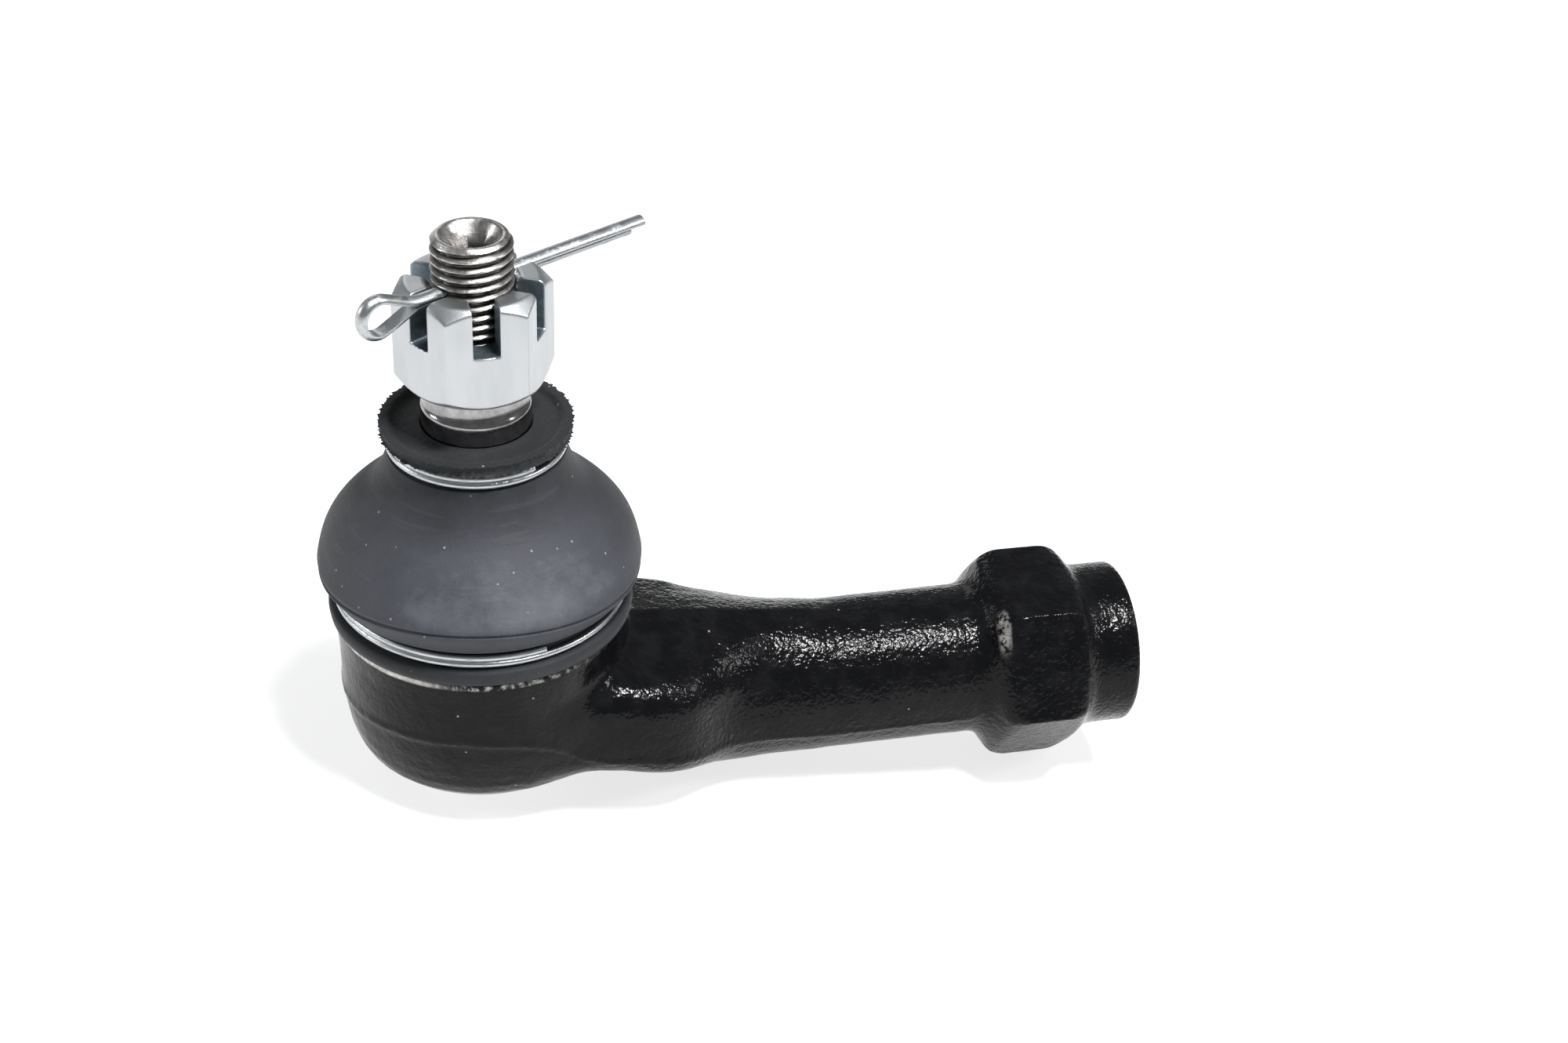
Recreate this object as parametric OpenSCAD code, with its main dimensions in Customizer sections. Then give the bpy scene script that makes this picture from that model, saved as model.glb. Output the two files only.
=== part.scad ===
// Outer tie rod end: a forged housing with a threaded arm, holding a ball stud
// under a rubber boot, with a castle nut and a cotter pin on the stud.
// Origin at the centre of the ball, +Z up the stud, +X out along the arm.

/* [Ball stud] */
// Diameter of the ball
ball_d = 20; // [18:0.5:20]
// Diameter of the stud where it leaves the ball
stud_neck_d = 10.4; // [9:0.2:10.6]
// Diameter of the polished shoulder that the boot seals on
shoulder_d = 13.6; // [13:0.1:13.8]
// Height where the shoulder ends
shoulder_top = 34.4; // [34:0.1:34.8]
// Largest diameter of the taper above the shoulder
taper_d = 12.9; // [12.5:0.1:13]
// Height where the taper ends and the thread begins
taper_top = 40.3; // [39.6:0.1:40.4]
// Smallest diameter of the taper
taper_end_d = 11.5; // [10.8:0.1:11.6]
// Outside diameter of the stud's thread
thread_d = 10; // [10:1:10]
// Height of the top of the stud
stud_top = 56.8; // [55:0.1:60]

/* [Castle nut] */
// Width of the nut across its flats
nut_af = 17; // [16:0.5:19]
// Height of the nut's lower face
nut_bottom = 37.5; // [37.2:0.1:38]
// Height of the nut from face to face
nut_h = 13.5; // [13:0.1:13.6]
// Width of each slot in the nut
slot_w = 3.2; // [2.8:0.1:3.6]
// Depth of each slot from the top of the nut
slot_depth = 6.4; // [5:0.1:6.6]

/* [Cotter pin] */
// Diameter of the two legs together
pin_d = 2; // [1.8:0.1:2]
// Direction of the pin's tail, turned about the stud from +X
pin_angle = 29; // [0:1:60]
// Height of the pin's centre line
pin_z = 50.2; // [49.5:0.1:50.2]
// Reach of the long leg from the stud's axis
long_leg = 25.8; // [20:0.2:30]
// Reach of the short leg from the stud's axis
short_leg = 23.6; // [18:0.2:28]

/* [Housing] */
// Radius of the cup at its rim
rim_r = 18.5; // [18.2:0.1:18.8]
// Height of the rim, where the boot's flange sits
rim_z = 4.9; // [4.7:0.1:4.9]
// Radius of the neck inside the boot
neck_r = 15.6; // [15.4:0.1:15.6]
// Height of the top of the neck
neck_top = 10.4; // [10.2:0.1:10.5]
// Height of the bottom of the cup
cup_bottom = -16; // [-16.4:0.1:-16]
// Radius of the bore that holds the bearing
socket_r = 13; // [12.8:0.1:13.2]

/* [Arm] */
// Height of the arm's axis
arm_z = -13; // [-13.5:0.1:-12]
// Diameter of the arm where it meets the hexagon
arm_d = 20.2; // [20:0.2:21]
// Distance of the arm's end face from the ball's centre
arm_end = 87.5; // [85:0.5:95]
// Width of the hexagon across its flats
hex_af = 25; // [24:0.5:26]
// Turn of the hexagon about the arm's axis
hex_turn = 6; // [-30:1:30]
// Diameter of the plain collar at the arm's end
collar_d = 22; // [20:0.2:23]
// Diameter of the tie rod's thread at its crests in the bore
rod_bore_d = 12.38; // [12:0.02:12.6]
// Depth of the threaded bore
rod_bore_len = 32; // [25:0.5:34]

/* [Boot] */
// Largest radius of the boot's dome
boot_r = 20.5; // [20.2:0.1:20.6]
// Thickness of the rubber
boot_wall = 2; // [1.6:0.1:2]
// Radius of the boot's top lip
lip_r = 11.65; // [11.5:0.05:12]
// Thickness of the wire of both clip rings
wire_d = 0.9; // [0.8:0.05:0.9]

/* [Hidden] */
$fn = 72;
ball_r = ball_d / 2;
seat_gap = 0.05;                       // running clearance round the ball
fit_gap = 0.05;                        // clearance of pieces that touch
lip_z = 6.1;                           // underside of the housing's retaining lip
lip_open_r = 9.6;                      // lip opening, below and above
mouth_r = 11.4;
crimp_h = 0.8;                         // rolled edge that holds the end cap
crimp_r = 10.8;
cap_h = 2.1;
spring_h = 1.35;
cap_z = cup_bottom + crimp_h + fit_gap;
spring_z = cap_z + cap_h + fit_gap;
seat_z = spring_z + spring_h + fit_gap;
nut_top = nut_bottom + nut_h;
nut_bore_r = thread_d / 2 - 0.4;       // threads in the nut are at their pitch line
nut_recess_r = 6.15;                   // recess that clears the end of the taper
nut_recess_top = taper_top + 0.2;
held_thread_r = nut_bore_r - fit_gap;  // thread below the nut's top, and free above it
free_thread_z = nut_top + 0.6;
stud_chamfer = 0.7;
hex_r = hex_af / sqrt(3);
hex_start = 67.5;
hex_end = 80.5;
flange_z = rim_z + fit_gap;
lower_wire_z = [7.75, 8.65];
lower_wire_r = 17.7 + wire_d / 2;
upper_wire_z = [28.65, 29.55];
upper_wire_r = 10.27 + wire_d / 2;

// The dome is part of an ellipse about this point
dome_r0 = -5.6;
dome_z0 = 10.6;
dome_h = 16.7;
dome_start = 8;
dome_end = 39;

function dome(a, inset) = [dome_r0 + (boot_r + 0.2 - dome_r0 - inset) * cos(a),
    dome_z0 + (dome_h - inset) * sin(a)];
// Quadratic curve from a to c, pulled towards b
function bend(a, b, c, steps) = [for (i = [1:steps]) let (t = i / steps)
    a * (1 - t) * (1 - t) + b * 2 * t * (1 - t) + c * t * t];

// Everything along the arm is made upright and laid along +X
module along_arm(x) {
    translate([x, 0, arm_z]) rotate([0, 90, 0]) children();
}

module cup() {
    rotate_extrude() polygon([[0, cup_bottom], [13.6, cup_bottom], [16.3, cup_bottom + 2.2],
        [17.2, cup_bottom + 5], [17.8, -4.8], [rim_r, rim_z - 1.2], [rim_r - 0.3, rim_z],
        [neck_r, rim_z], [neck_r, rim_z + 2.4], [neck_r - 0.5, rim_z + 2.9],
        [neck_r - 0.5, neck_top - 0.8], [neck_r - 0.1, neck_top - 0.5],
        [neck_r - 0.4, neck_top], [0, neck_top]]);
}

// Flat web that widens the arm where it runs into the cup, and the broad rib on top of it
module web() {
    web_h = 12.4;
    rib_w = 19;
    translate([0, 0, cup_bottom + 0.6]) linear_extrude(web_h)
        polygon([[0, 16], [10, 14.6], [22, 11.4], [36, 9.6], [36, -9.6], [22, -11.4],
            [10, -14.6], [0, -16]]);
    rotate([90, 0, 0]) linear_extrude(rib_w, center = true)
        polygon([[0, cup_bottom + 1], [0, 0.9], [17.5, 0.9], [24, -0.4], [34, -2.2],
            [38, -3.6], [38, arm_z], [24, arm_z], [16, cup_bottom + 1]]);
}

// Hexagon for the spanner, with both ends chamfered down to the arm
module hex_collar() {
    intersection() {
        along_arm(0) rotate_extrude() polygon([[0, hex_start - 1.5], [10.8, hex_start - 1.5],
            [14.5, hex_start + 2.4], [14.5, hex_end - 2.4], [11.2, hex_end + 1.2],
            [0, hex_end + 1.2]]);
        translate([0, 0, arm_z]) rotate([hex_turn, 0, 0]) rotate([0, 90, 0])
            rotate([0, 0, 90]) cylinder(r = hex_r, h = hex_end + 2, $fn = 6);
    }
}

module arm() {
    along_arm(23) cylinder(r1 = arm_d / 2 + 0.4, r2 = arm_d / 2, h = 46);
    translate([24, 0, arm_z]) sphere(r = arm_d / 2 + 0.2);
    hex_collar();
    along_arm(0) rotate_extrude() polygon([[0, hex_end - 2], [collar_d / 2, hex_end - 2],
        [collar_d / 2, arm_end - 0.9], [collar_d / 2 - 0.9, arm_end], [0, arm_end]]);
}

module socket() {
    translate([0, 0, cup_bottom - 1]) cylinder(r = crimp_r, h = 3);
    translate([0, 0, cup_bottom + crimp_h])
        cylinder(r = socket_r, h = lip_z - cup_bottom - crimp_h);
    translate([0, 0, lip_z - 1]) cylinder(r = lip_open_r, h = 1.5);
    translate([0, 0, lip_z]) cylinder(r1 = lip_open_r, r2 = mouth_r, h = neck_top - lip_z);
    translate([0, 0, neck_top - 0.01]) cylinder(r = mouth_r, h = 1);
}

module rod_bore() {
    bore_r = rod_bore_d / 2;
    along_arm(arm_end - rod_bore_len) cylinder(r = bore_r, h = rod_bore_len + 1);
    along_arm(arm_end - rod_bore_len - 3.4) cylinder(r1 = 0.2, r2 = bore_r, h = 3.4);
    along_arm(arm_end - 1) cylinder(r1 = bore_r, r2 = bore_r + 1.1, h = 1.1);
}

module housing() {
    color([0.04, 0.04, 0.045]) difference() {
        union() {
            cup();
            web();
            arm();
        }
        socket();
        rod_bore();
    }
}

module end_cap() {
    color([0.55, 0.56, 0.58]) translate([0, 0, cap_z]) difference() {
        cylinder(r = socket_r - fit_gap, h = cap_h);
        translate([0, 0, -0.01]) cylinder(r1 = 6.6, r2 = 5.8, h = 0.6);
    }
}

// Spherical seat ring above the ball's middle, relieved where the stud swings
module bearing_seat_upper() {
    color([0.93, 0.92, 0.86]) difference() {
        translate([0, 0, seat_gap]) cylinder(r = socket_r - fit_gap, h = lip_z - 2 * seat_gap);
        sphere(r = ball_r + seat_gap);
        translate([0, 0, 5]) cylinder(r1 = 8.6, r2 = 9.4, h = 1.2);
    }
}

module bearing_seat_lower() {
    color([0.93, 0.92, 0.86]) difference() {
        translate([0, 0, seat_z]) cylinder(r = socket_r - fit_gap, h = -seat_gap - seat_z);
        sphere(r = ball_r + seat_gap);
    }
}

// Shallow coned washer that presses the lower seat on the ball
module preload_spring() {
    color([0.35, 0.37, 0.4]) translate([0, 0, spring_z]) rotate_extrude()
        polygon([[5, spring_h - 0.75], [11.9, 0], [11.9, 0.75], [5, spring_h]]);
}

module ball_stud() {
    color([0.62, 0.61, 0.6]) difference() {
        union() {
            sphere(r = ball_r);
            cylinder(r = stud_neck_d / 2, h = 14);
            rotate_extrude() polygon([[0, 12.5], [stud_neck_d / 2, 12.5],
                [shoulder_d / 2, 24.5], [shoulder_d / 2, shoulder_top - 0.5],
                [shoulder_d / 2 - 0.3, shoulder_top], [taper_d / 2, shoulder_top + 0.2],
                [taper_end_d / 2, taper_top], [held_thread_r, taper_top],
                [held_thread_r, free_thread_z], [thread_d / 2, free_thread_z],
                [thread_d / 2, stud_top - stud_chamfer],
                [thread_d / 2 - stud_chamfer, stud_top], [0, stud_top]]);
        }
        rotate([0, 0, pin_angle]) translate([0, 0, pin_z]) rotate([0, 90, 0])
            cylinder(r = pin_d / 2 + 0.15, h = 3 * thread_d, center = true);
        translate([0, 0, stud_top - 2.6]) cylinder(r1 = 0.9, r2 = 3.65, h = 2.61);
    }
}

module dust_boot() {
    groove_low_r = 17.65;
    groove_up_r = 10.22;
    bore_r = shoulder_d / 2 + 0.06;
    inner_r = neck_r + fit_gap;
    color([0.13, 0.14, 0.155]) rotate_extrude() polygon(concat(
        [[inner_r, flange_z], [19.1, flange_z], [19.2, flange_z + 1.9],
            [groove_low_r + 0.1, flange_z + 2.15], [groove_low_r, 7.25], [groove_low_r, 9.2],
            [18.6, 9.5], [19.8, 11.4], [boot_r - 0.3, 12.4], [boot_r - 0.45, 12.65]],
        [for (a = [dome_start:3.1:dome_end]) dome(a, 0)],
        bend(dome(dome_end, 0), [12.1, 23.3], [11.05, 27.8], 6),
        [[groove_up_r, 28.1], [groove_up_r, 30.1], [lip_r - 0.4, 30.3], [lip_r, 30.7],
            [lip_r, 31.6], [lip_r - 0.4, 31.9], [9.4, 31.5], [7.6, 31.7], [bore_r, 31.6],
            [bore_r, 27.4]],
        [for (p = bend([bore_r, 27.4], [10.4, 24.2], dome(dome_end, boot_wall), 6)) p],
        [for (a = [dome_end - 3:-3.1:dome_start]) dome(a, boot_wall)],
        [[inner_r, neck_top + 0.7]]));
}

module wire_ring(r, heights) {
    color([0.78, 0.8, 0.82]) rotate_extrude() union() {
        for (z = heights) translate([r, z]) circle(r = wire_d / 2, $fn = 24);
        translate([r - wire_d / 6, heights[0]]) square([wire_d / 3, heights[1] - heights[0]]);
    }
}

module lower_clip_ring() {
    wire_ring(lower_wire_r, lower_wire_z);
}

module upper_clip_ring() {
    wire_ring(upper_wire_r, upper_wire_z);
}

// Hexagon nut with both faces chamfered and a slot across each pair of flats
module castle_nut() {
    corner_r = nut_af / sqrt(3);
    face_r = nut_af / 2 - 0.4;
    rise = 1.5;
    color([0.84, 0.86, 0.87]) difference() {
        intersection() {
            translate([0, 0, nut_bottom]) rotate([0, 0, pin_angle + 30])
                cylinder(r = corner_r, h = nut_h, $fn = 6);
            rotate_extrude() polygon([[0, nut_bottom], [face_r, nut_bottom],
                [corner_r + 0.1, nut_bottom + rise], [corner_r + 0.1, nut_top - rise],
                [face_r, nut_top], [0, nut_top]]);
        }
        translate([0, 0, nut_bottom - 1]) cylinder(r = nut_bore_r, h = nut_h + 2);
        translate([0, 0, nut_bottom - 1])
            cylinder(r = nut_recess_r, h = nut_recess_top - nut_bottom + 1);
        for (turn = [0, 60, 120]) rotate([0, 0, pin_angle + turn])
            translate([-nut_af, -slot_w / 2, nut_top - slot_depth])
                cube([2 * nut_af, slot_w, slot_depth + 1]);
    }
}

// Half of a round wire, from x0 to x1, on the upper or lower side of the pin's axis
module leg(x0, x1, upper) {
    split = 0.04;
    intersection() {
        translate([x0, 0, 0]) rotate([0, 90, 0]) cylinder(r = pin_d / 2, h = x1 - x0);
        translate([x0 - 1, -pin_d, upper ? split : -pin_d])
            cube([x1 - x0 + 2, 2 * pin_d, pin_d - split]);
    }
}

module cotter_pin() {
    eye_x = -13.5;                     // centre of the eye and its size
    eye_r = 2.25;
    eye_wire = 0.48;
    join_x = -9.4;                     // where the legs open out into the eye
    reach = norm([eye_x - join_x + 0.6, eye_r - 0.45]);
    tilt = atan2(eye_r - 0.45, join_x - eye_x - 0.6);
    color([0.76, 0.78, 0.8]) rotate([0, 0, pin_angle]) translate([0, 0, pin_z]) {
        leg(join_x, long_leg, true);
        leg(join_x, short_leg, false);
        translate([eye_x, 0, 0]) rotate([90, 0, 0]) rotate_extrude()
            translate([eye_r, 0]) circle(r = eye_wire, $fn = 24);
        for (side = [1, -1]) translate([join_x + 0.2, 0, side * 0.5])
            rotate([0, -90 - side * tilt, 0]) cylinder(r = 0.42, h = reach, $fn = 24);
    }
}

housing();
end_cap();
bearing_seat_upper();
bearing_seat_lower();
preload_spring();
ball_stud();
dust_boot();
lower_clip_ring();
upper_clip_ring();
castle_nut();
cotter_pin();
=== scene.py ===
# %% [markdown]
# # A tie rod end
# A tie rod end is the small ball joint at the outer end of a car's steering
# linkage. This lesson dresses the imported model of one: the shapes and the joints
# come from the frame, and each cell adds a finished piece on top of it.
# Everything is worked out in millimetres and stored in metres.

# %% Load the frame
import math

import bmesh
import bpy
import numpy as np
from mathutils import Matrix, Vector


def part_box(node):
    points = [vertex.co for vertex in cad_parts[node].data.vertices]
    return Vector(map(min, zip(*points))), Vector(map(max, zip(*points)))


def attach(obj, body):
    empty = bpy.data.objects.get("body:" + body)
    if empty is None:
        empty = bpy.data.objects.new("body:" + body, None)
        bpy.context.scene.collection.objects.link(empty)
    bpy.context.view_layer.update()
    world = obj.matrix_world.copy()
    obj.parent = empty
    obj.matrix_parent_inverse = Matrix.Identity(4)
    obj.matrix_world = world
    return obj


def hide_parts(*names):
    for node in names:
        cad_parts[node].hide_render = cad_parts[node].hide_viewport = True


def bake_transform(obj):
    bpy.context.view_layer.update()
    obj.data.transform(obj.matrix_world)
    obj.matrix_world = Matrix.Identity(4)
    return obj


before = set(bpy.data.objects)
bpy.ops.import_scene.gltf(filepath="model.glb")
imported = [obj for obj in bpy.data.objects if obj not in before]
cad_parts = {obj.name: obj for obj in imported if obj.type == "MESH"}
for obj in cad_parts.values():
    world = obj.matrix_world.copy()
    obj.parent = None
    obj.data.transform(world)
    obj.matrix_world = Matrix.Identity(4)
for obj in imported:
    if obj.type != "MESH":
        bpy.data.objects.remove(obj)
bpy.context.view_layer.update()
MM = 0.001


def span_mm(node):
    """Lowest and highest corner of a frame part, in millimetres."""
    low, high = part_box(node)
    return np.array(low) / MM, np.array(high) / MM


print("frame parts:", sorted(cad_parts))

# %% [markdown]
# ## Sizes that several pieces share
# The ball's centre is the origin, the stud points up +Z and the arm runs out
# along +X. The heights below are read from the frame, so the pieces stay on it.

# %% Shared sizes
HOUSING_LOW, HOUSING_HIGH = span_mm("housing")
NUT_LOW, NUT_HIGH = span_mm("castle_nut")
STUD_TOP = float(span_mm("ball_stud")[1][2])
BOOT_BOTTOM = float(span_mm("dust_boot")[0][2])
ARM_END = HOUSING_HIGH[0]
ARM_Z = -13.0
CUP_BOTTOM = -16.0
RIM_Z = 4.9
BOOT_R = 20.0                              # the boot's dome, for the dust on it
PIN_TURN = math.radians(29)
PIN_Z = 50.2
VIEW_SIDE = math.radians(-105)             # the side of the joint that faces the camera
print("arm ends at", round(float(ARM_END), 2), "mm; nut from",
      NUT_LOW[2].round(2), "to", NUT_HIGH[2].round(2), "mm")

# %% [markdown]
# ## Camera
# The joint is seen from a little left of its front and from about a third of the
# way up, with the camera rolled by a few degrees. A longish lens keeps the cup
# from looking swollen next to the arm.

# %% Camera
VIEW_TURN, VIEW_RISE, VIEW_ROLL = (math.radians(a) for a in (-14.95, 33.2, 2.74))
VIEW_DISTANCE, VIEW_RIGHT, VIEW_UP, VIEW_DROP = 341.8, 39.33, 24.66, 13.0

toward = Vector((math.sin(VIEW_TURN) * math.cos(VIEW_RISE),
                 -math.cos(VIEW_TURN) * math.cos(VIEW_RISE), math.sin(VIEW_RISE)))
level = (-toward).cross(Vector((0, 0, 1))).normalized()
upright = level.cross(-toward)
camera_x = math.cos(VIEW_ROLL) * level + math.sin(VIEW_ROLL) * upright
camera_y = math.cos(VIEW_ROLL) * upright - math.sin(VIEW_ROLL) * level
spot = VIEW_DISTANCE * toward + VIEW_RIGHT * camera_x + VIEW_UP * camera_y
spot -= Vector((0, 0, VIEW_DROP))
lens = bpy.data.cameras.new("camera")
lens.lens = 59.7
lens.sensor_width = 36.0
lens.clip_start = 0.01
camera = bpy.data.objects.new("camera", lens)
camera.matrix_world = Matrix((
    (camera_x.x, camera_y.x, toward.x, spot.x * MM),
    (camera_x.y, camera_y.y, toward.y, spot.y * MM),
    (camera_x.z, camera_y.z, toward.z, spot.z * MM),
    (0, 0, 0, 1)))
bpy.context.scene.collection.objects.link(camera)
bpy.context.scene.camera = camera
print("camera stands at, mm:", [round(c, 1) for c in spot])

# %% [markdown]
# ## Light
# Glossy black paint shows only what it reflects. So the room is dim, one small and
# bright softbox hangs overhead for the long band of light on the arm, and three
# weaker ones stand at the sides and the back. The pale floor lights the undersides.


# %% Light
MIDDLE = Vector((0.02, 0, 0))              # the point that the lights look at, in metres


def softbox(name, direction, distance, size, radiance, tint=(1, 1, 1)):
    """A square area light that looks at the joint from one direction."""
    lamp = bpy.data.lights.new(name, "AREA")
    lamp.shape = "SQUARE"
    lamp.size = size
    lamp.color = tint
    lamp.energy = radiance * math.pi * size * size
    stand = bpy.data.objects.new(name, lamp)
    away = Vector(direction).normalized()
    stand.location = away * distance + MIDDLE
    stand.rotation_euler = away.to_track_quat("Z", "Y").to_euler()
    bpy.context.scene.collection.objects.link(stand)
    return stand


softbox("softbox_top", (0.22, -0.32, 0.93), 0.80, 0.15, 150)
softbox("softbox_back", (-0.10, 0.95, 0.45), 1.2, 0.50, 1.5)
softbox("softbox_left", (-0.95, 0.25, 0.45), 1.0, 0.20, 20, (0.93, 0.96, 1))
softbox("softbox_right", (0.90, -0.25, 0.60), 1.0, 0.20, 20)

room = bpy.data.worlds.new("room")
room.use_nodes = True
room.node_tree.nodes["Background"].inputs[0].default_value = (0.96, 0.98, 1, 1)
room.node_tree.nodes["Background"].inputs[1].default_value = 0.24
bpy.context.scene.world = room
bpy.context.scene.view_settings.view_transform = "Standard"

# %% [markdown]
# ## Writing materials as sums
# A material in Blender is a graph of nodes. Building one by hand is slow to read,
# so a small class wraps one output socket. Adding or multiplying two of them adds
# the Math node that does it, and numbers can stand on either side.


# %% Shader maths
class Shade:
    """One output socket of a material, with the operators of a plain number."""

    def __init__(self, finish, socket):
        self.finish, self.socket = finish, socket

    def math(self, operation, *others):
        return self.finish.node("ShaderNodeMath", {"operation": operation}, (self, *others))

    def __add__(self, other): return self.math("ADD", other)
    def __sub__(self, other): return self.math("SUBTRACT", other)
    def __mul__(self, other): return self.math("MULTIPLY", other)
    def __truediv__(self, other): return self.math("DIVIDE", other)
    def __pow__(self, other): return self.math("POWER", other)
    def __neg__(self): return self.math("MULTIPLY", -1.0)
    def __rsub__(self, other): return self.finish.number("SUBTRACT", other, self)
    def __rtruediv__(self, other): return self.finish.number("DIVIDE", other, self)
    __radd__ = __add__
    __rmul__ = __mul__

    def over(self, limit, soft):
        """0 below the limit and 1 above it, with a soft step between."""
        return self.finish.node("ShaderNodeMapRange", {"interpolation_type": "SMOOTHSTEP"},
                                (self, limit - soft, limit + soft, 0.0, 1.0))

    def near(self, value, width):
        """1 where this is close to the value, fading to 0 at the width."""
        return 1 - (self - value).math("ABSOLUTE").over(width * 0.6, width * 0.4)

    def largest(self, other): return self.math("MAXIMUM", other)


class Finish:
    """A material of one principled surface, and the ways to add nodes to it."""

    def __init__(self, name):
        self.material = bpy.data.materials.new(name)
        self.material.use_nodes = True
        self.tree = self.material.node_tree
        self.tree.nodes.clear()
        place = self.node("ShaderNodeTexCoord", {}, (), "Object")
        self.place = self.node("ShaderNodeVectorMath", {"operation": "SCALE"},
                               {"Vector": place, "Scale": 1 / MM})
        self.x, self.y, self.z = (
            self.node("ShaderNodeSeparateXYZ", {}, (self.place,), axis) for axis in "XYZ")
        self.reach = ((self.x * self.x) + (self.y * self.y)) ** 0.5

    def node(self, kind, settings, values, output=0):
        """Adds any node: its settings first, then the values or links of its sockets."""
        made = self.tree.nodes.new(kind)
        for key, value in settings.items():
            if key == "stops":
                ramp = made.color_ramp
                while len(ramp.elements) < len(value):
                    ramp.elements.new(0.5)
                for element, (position, colour) in zip(ramp.elements, value):
                    element.position, element.color = position, (*colour, 1)
            else:
                setattr(made, key, value)
        pairs = values.items() if isinstance(values, dict) else enumerate(values)
        for key, value in pairs:
            socket = made.inputs[key]
            if isinstance(value, Shade):
                self.tree.links.new(value.socket, socket)
            else:
                socket.default_value = value
        return Shade(self, made.outputs[output])

    def number(self, operation, left, right):
        return self.node("ShaderNodeMath", {"operation": operation}, (left, right))

    def noise(self, size, detail=3.0, stretch=(1, 1, 1), roughness=0.5, shift=0.0):
        """Noise from 0 to 1 whose blobs are about this many millimetres across."""
        spread = self.node("ShaderNodeMapping", {"vector_type": "POINT"},
                           {"Vector": self.place, "Location": (shift, shift * 0.7, shift * 0.3),
                            "Scale": stretch})
        return self.node("ShaderNodeTexNoise", {"noise_dimensions": "3D"},
                         {"Vector": spread, "Scale": 1 / size, "Detail": detail,
                          "Roughness": roughness}, "Fac")

    def cells(self, size, feature="F1", shift=0.0):
        """Distance to the nearest of many scattered points."""
        spread = self.node("ShaderNodeMapping", {"vector_type": "POINT"},
                           {"Vector": self.place, "Location": (shift, shift, shift)})
        return self.node("ShaderNodeTexVoronoi", {"feature": feature},
                         {"Vector": spread, "Scale": 1 / size}, "Distance")

    def attribute(self, name):
        return self.node("ShaderNodeAttribute", {"attribute_name": name}, (), "Fac")

    def ramp(self, value, stops):
        return self.node("ShaderNodeValToRGB", {"stops": stops}, (value,), "Color")

    def blend(self, first, second, share):
        """One colour over another by a share from 0 to 1."""
        first, second = (c if isinstance(c, Shade) else (*c, 1) for c in (first, second))
        return self.node("ShaderNodeMix", {"data_type": "RGBA", "clamp_factor": True},
                         {0: share, 6: first, 7: second}, 2)

    def bumps(self, *layers):
        """Bump nodes one on another, each from a height and how many mm it rises."""
        normal = None
        for height, rise in layers:
            sockets = {"Height": height, "Distance": rise * MM, "Strength": 1.0}
            if normal is not None:
                sockets["Normal"] = normal
            normal = self.node("ShaderNodeBump", {}, sockets, "Normal")
        return normal

    def surface(self, colour, roughness, metallic=0.0, normal=None, **constants):
        sockets = {"Base Color": colour, "Roughness": roughness, "Metallic": metallic}
        if not isinstance(colour, Shade):
            sockets["Base Color"] = (*colour, 1)
        if normal is not None:
            sockets["Normal"] = normal
        sockets.update({key.replace("_", " "): value for key, value in constants.items()})
        skin = self.node("ShaderNodeBsdfPrincipled", {}, sockets, "BSDF")
        end = self.tree.nodes.new("ShaderNodeOutputMaterial")
        self.tree.links.new(skin.socket, end.inputs["Surface"])
        return self.material


# %% [markdown]
# ## Black paint over a forging
# The housing is a hammer forging, painted gloss black while its skin is still
# rough. The paint flows over the scale and leaves an orange peel with small
# glints. It's thin on the arrises, where bare steel shows, and it's chipped where
# a spanner or a neighbour has touched it.


# %% Black paint
def black_paint():
    f = Finish("black_paint_finish")
    peel = f.noise(1.15, 2.0, roughness=0.55)
    pits = f.noise(0.55, 1.0, shift=11)
    broad = f.noise(9.0, 2.0, shift=3)
    wear = f.attribute("wear")             # how sharp the skin is at each point
    flakes = f.noise(0.9, 4.0, roughness=0.7, shift=31)
    rim_band = f.z.near(RIM_Z - 0.78, 0.5) * f.reach.over(17.7, 0.2)
    rim_side = (f.x * -0.79 + f.y * -0.61).over(16.2, 1.6)
    rim_line = (f.x * -0.35 + f.y * -0.94).over(12.0, 5.0) * 0.8
    rim_chip = rim_band * rim_side.largest(rim_line * flakes.over(0.52, 0.1))
    hex_place = f.x.near(68.2, 0.9) * (f.y * -1).near(8.2, 2.5) * f.z.near(-3.2, 4.0)
    hex_chip = hex_place * flakes.over(0.47, 0.04)
    edge_chip = (wear * f.noise(2.4, 4.0, roughness=0.7, shift=5)).over(0.52, 0.07)
    specks = (1 - f.cells(4.4, shift=2).over(0.035, 0.012)) * 0.7
    bare = rim_chip.largest(hex_chip).largest(edge_chip).largest(specks)
    inside = (1 - f.reach.over(15.3, 0.1)) * (1 - f.x.over(20, 0.5))
    inside = inside * f.z.over(CUP_BOTTOM + 0.1, 0.05)
    dust = f.noise(3.2, 4.0, roughness=0.65, shift=17).over(0.55, 0.14) * 0.5
    black = f.blend((0.0030, 0.0031, 0.0035), (0.009, 0.009, 0.010), dust)
    steel = f.ramp(flakes, [(0.3, (0.20, 0.19, 0.18)), (0.7, (0.55, 0.54, 0.52))])
    colour = f.blend(black, steel, bare)
    colour = f.blend(colour, (0.16, 0.155, 0.15), inside)
    gloss = 0.12 + broad * 0.06 + dust * 0.10 + (pits - 0.5) * 0.08
    roughness = gloss + bare * 0.18 + inside * 0.2
    rough_skin = 0.40 + f.reach.over(21.5, 4.0) * 0.55    # the cup is smoother than the arm
    normal = f.bumps((broad, 0.10), (peel * rough_skin, 0.15), (pits * rough_skin, 0.13),
                     (bare, -0.05))
    return f.surface(colour, roughness, bare.largest(inside) * 0.9, normal,
                     Specular_IOR_Level=0.13)


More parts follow.
